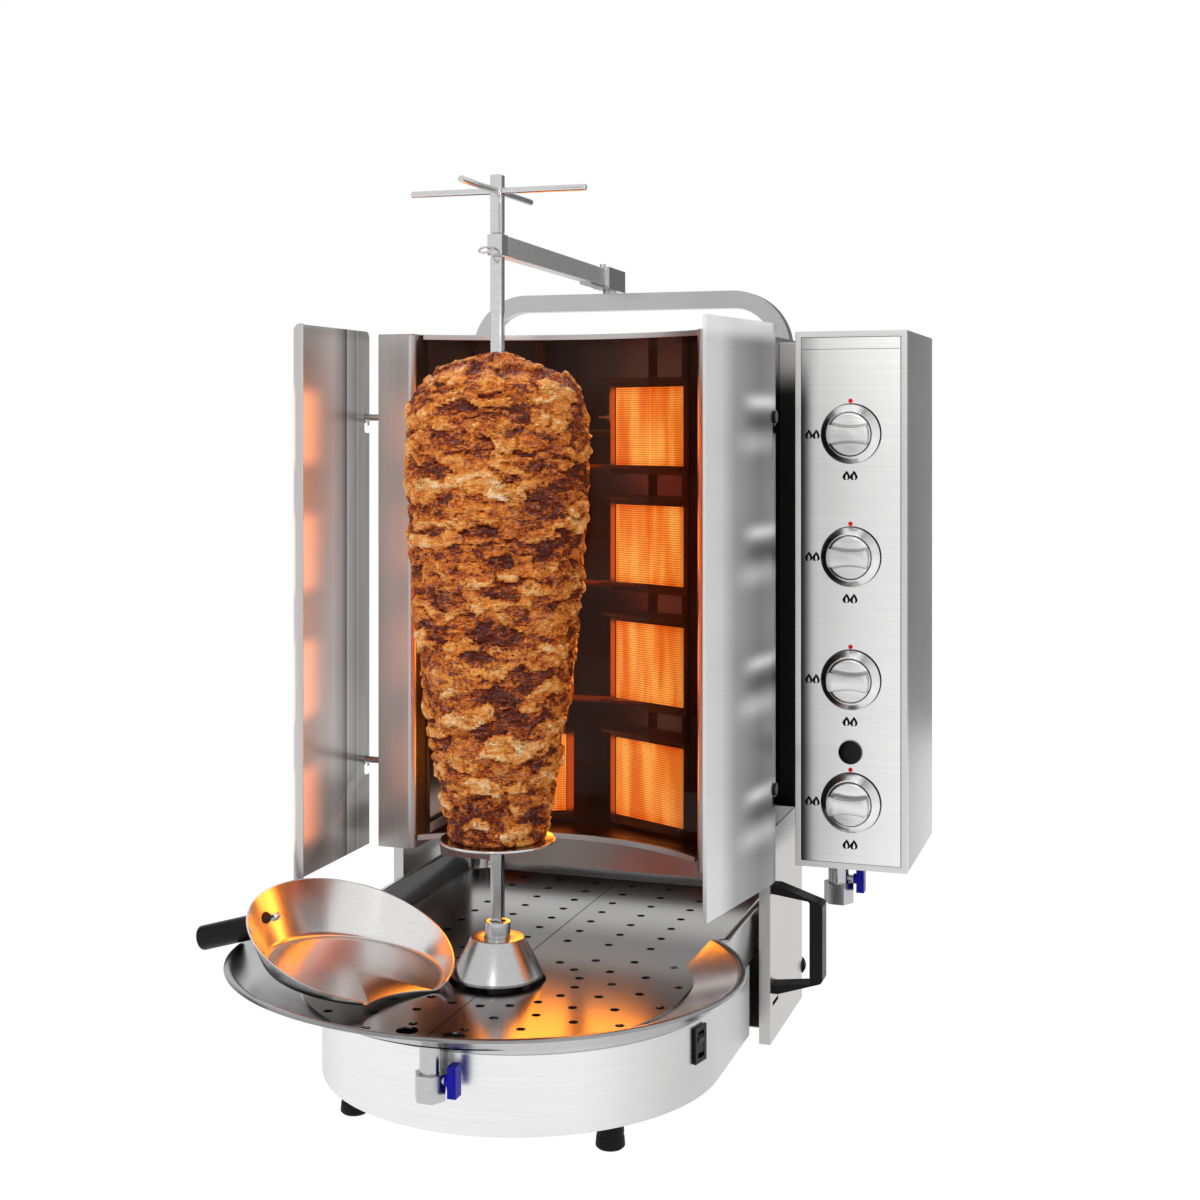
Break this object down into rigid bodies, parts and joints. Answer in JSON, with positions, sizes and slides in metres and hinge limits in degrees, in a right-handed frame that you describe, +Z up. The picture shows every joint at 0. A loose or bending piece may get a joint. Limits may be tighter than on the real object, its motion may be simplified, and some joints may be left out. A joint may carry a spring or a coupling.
{
  "type": "gas doner kebab grill",
  "caption": "Worktop gas doner grill: upright turning spit with meat, burner tower behind curved glass, side wings, control box, drip dish and motor base.",
  "frame": {"origin": "middle of the outline on the worktop, at the underside of the rubber feet", "axes": "+Z up along the spit, +Y from the operator towards the tower, +X to the operator's right"},
  "size_m": [0.707, 0.7765, 0.984],
  "materials": {
    "polished_steel": "bright, finely brushed",
    "brushed_steel": "brushed",
    "heated_steel": "darkened by heat",
    "glowing_tile": "matt, glowing",
    "dark_glass": "smooth heat-proof",
    "brass": "satin",
    "electrode_ceramic": "matt",
    "knob_metal": "satin",
    "black_plastic": "smooth",
    "black_rubber": "matt",
    "motor_paint": "painted",
    "blue_grip": "smooth dipped",
    "roast_meat": "moist, layered"
  },
  "bodies": {
    "base": {"base_drum": "polished_steel", "base_floor": "brushed_steel", "rubber_feet": "black_rubber", "drip_dish": "polished_steel", "side_plate_left": "brushed_steel", "side_plate_right": "brushed_steel", "carry_handle_right": "black_plastic", "drain_valve": "polished_steel", "gear_motor": "motor_paint", "switch_frame": "black_plastic", "cable_gland": "black_plastic", "tower_side_left": "brushed_steel", "tower_side_right": "brushed_steel", "back_panel": "brushed_steel", "top_cover": "brushed_steel", "apron": "brushed_steel", "curved_glass": "dark_glass", "burner_housings_left": "heated_steel", "burner_housings_right": "heated_steel", "ceramic_tiles": "glowing_tile", "burner_posts": "heated_steel", "heat_shelves": "heated_steel", "gas_manifold": "brass", "burner_pipes": "brass", "ignition_electrode": "electrode_ceramic", "bow_tube": "brushed_steel", "control_box": "brushed_steel", "control_fascia": "brushed_steel", "knob_bezels": "polished_steel", "gas_valves": "brass", "gas_inlet_valve": "polished_steel"},
    "spit": {"drive_coupling": "polished_steel", "drip_cone": "polished_steel", "spit_shaft": "polished_steel", "meat_disc": "polished_steel", "doner_meat": "roast_meat", "cross_handle": "polished_steel"},
    "arm": {"support_arm": "brushed_steel", "bearing_fork": "polished_steel", "pivot_sleeve": "brushed_steel"},
    "lock": {"lock_pin": "polished_steel"},
    "floor_left": {"plate_left": "polished_steel"},
    "floor_right": {"plate_right": "polished_steel"},
    "pan": {"pan_bowl": "polished_steel", "pan_handle": "black_plastic"},
    "left_wing": {"wing_left": "brushed_steel"},
    "right_wing": {"wing_right": "brushed_steel"},
    "tap_knob_1": {"knob_1": "knob_metal"},
    "tap_knob_2": {"knob_2": "knob_metal"},
    "tap_knob_3": {"knob_3": "knob_metal"},
    "tap_knob_4": {"knob_4": "knob_metal"},
    "tap_stem_1": {"valve_stem_1": "brushed_steel"},
    "tap_stem_2": {"valve_stem_2": "brushed_steel"},
    "tap_stem_3": {"valve_stem_3": "brushed_steel"},
    "tap_stem_4": {"valve_stem_4": "brushed_steel"},
    "igniter": {"igniter_button": "black_plastic"},
    "drain_tap": {"drain_lever": "blue_grip"},
    "gas_tap": {"gas_lever": "blue_grip"},
    "rocker": {"switch_rocker": "black_plastic"}
  },
  "joints": [
    {"name": "spit_turn", "type": "hinge", "parent": "base", "child": "spit", "pos_m": [-0.03502, -0.116, 0.5], "axis": [0, 0, 1], "continuous": true},
    {"name": "arm_swing", "type": "hinge", "parent": "base", "child": "arm", "pos_m": [-0.06202, 0.346, 0.9], "axis": [0, 0, 1], "range_deg": [0, 90]},
    {"name": "lock_push", "type": "slide", "parent": "arm", "child": "lock", "axis": [-0.0583, 0.9983, 0], "range_m": [0, 0.0042]},
    {"name": "left_plate_lift", "type": "slide", "parent": "base", "child": "floor_left", "axis": [0, 0, 1], "range_m": [0, 0.05]},
    {"name": "right_plate_lift", "type": "slide", "parent": "base", "child": "floor_right", "axis": [0, 0, 1], "range_m": [0, 0.05]},
    {"name": "pan_lift", "type": "slide", "parent": "floor_left", "child": "pan", "axis": [0, 0, 1], "range_m": [0, 0.05]},
    {"name": "left_wing_lift", "type": "slide", "parent": "base", "child": "left_wing", "axis": [0, 0, 1], "range_m": [0, 0.0135]},
    {"name": "right_wing_lift", "type": "slide", "parent": "base", "child": "right_wing", "axis": [0, 0, 1], "range_m": [0, 0.0135]},
    {"name": "tap_push_1", "type": "slide", "parent": "base", "child": "tap_stem_1", "axis": [0, 1, 0], "range_m": [0, 0.004], "stiffness_N_per_m": 800},
    {"name": "tap_turn_1", "type": "hinge", "parent": "tap_stem_1", "child": "tap_knob_1", "pos_m": [0.28923, 0.144, 0.7106], "axis": [0, -1, 0], "range_deg": [0, 180]},
    {"name": "tap_push_2", "type": "slide", "parent": "base", "child": "tap_stem_2", "axis": [0, 1, 0], "range_m": [0, 0.004], "stiffness_N_per_m": 800},
    {"name": "tap_turn_2", "type": "hinge", "parent": "tap_stem_2", "child": "tap_knob_2", "pos_m": [0.28923, 0.144, 0.5704], "axis": [0, -1, 0], "range_deg": [0, 180]},
    {"name": "tap_push_3", "type": "slide", "parent": "base", "child": "tap_stem_3", "axis": [0, 1, 0], "range_m": [0, 0.004], "stiffness_N_per_m": 800},
    {"name": "tap_turn_3", "type": "hinge", "parent": "tap_stem_3", "child": "tap_knob_3", "pos_m": [0.28923, 0.144, 0.4302], "axis": [0, -1, 0], "range_deg": [0, 180]},
    {"name": "tap_push_4", "type": "slide", "parent": "base", "child": "tap_stem_4", "axis": [0, 1, 0], "range_m": [0, 0.004], "stiffness_N_per_m": 800},
    {"name": "tap_turn_4", "type": "hinge", "parent": "tap_stem_4", "child": "tap_knob_4", "pos_m": [0.28923, 0.144, 0.29], "axis": [0, -1, 0], "range_deg": [0, 180]},
    {"name": "igniter_push", "type": "slide", "parent": "base", "child": "igniter", "axis": [0, 1, 0], "range_m": [0, 0.003], "stiffness_N_per_m": 600},
    {"name": "drain_turn", "type": "hinge", "parent": "base", "child": "drain_tap", "pos_m": [-0.02502, -0.276, 0.09], "axis": [1, 0, 0], "range_deg": [0, 90]},
    {"name": "gas_turn", "type": "hinge", "parent": "base", "child": "gas_tap", "pos_m": [0.27898, 0.234, 0.184], "axis": [1, 0, 0], "range_deg": [0, 90]},
    {"name": "rocker_tilt", "type": "hinge", "parent": "base", "child": "rocker", "pos_m": [0.17069, -0.08929, 0.086], "axis": [0.2419, 0.9703, 0], "range_deg": [-13, 0]}
  ]
}
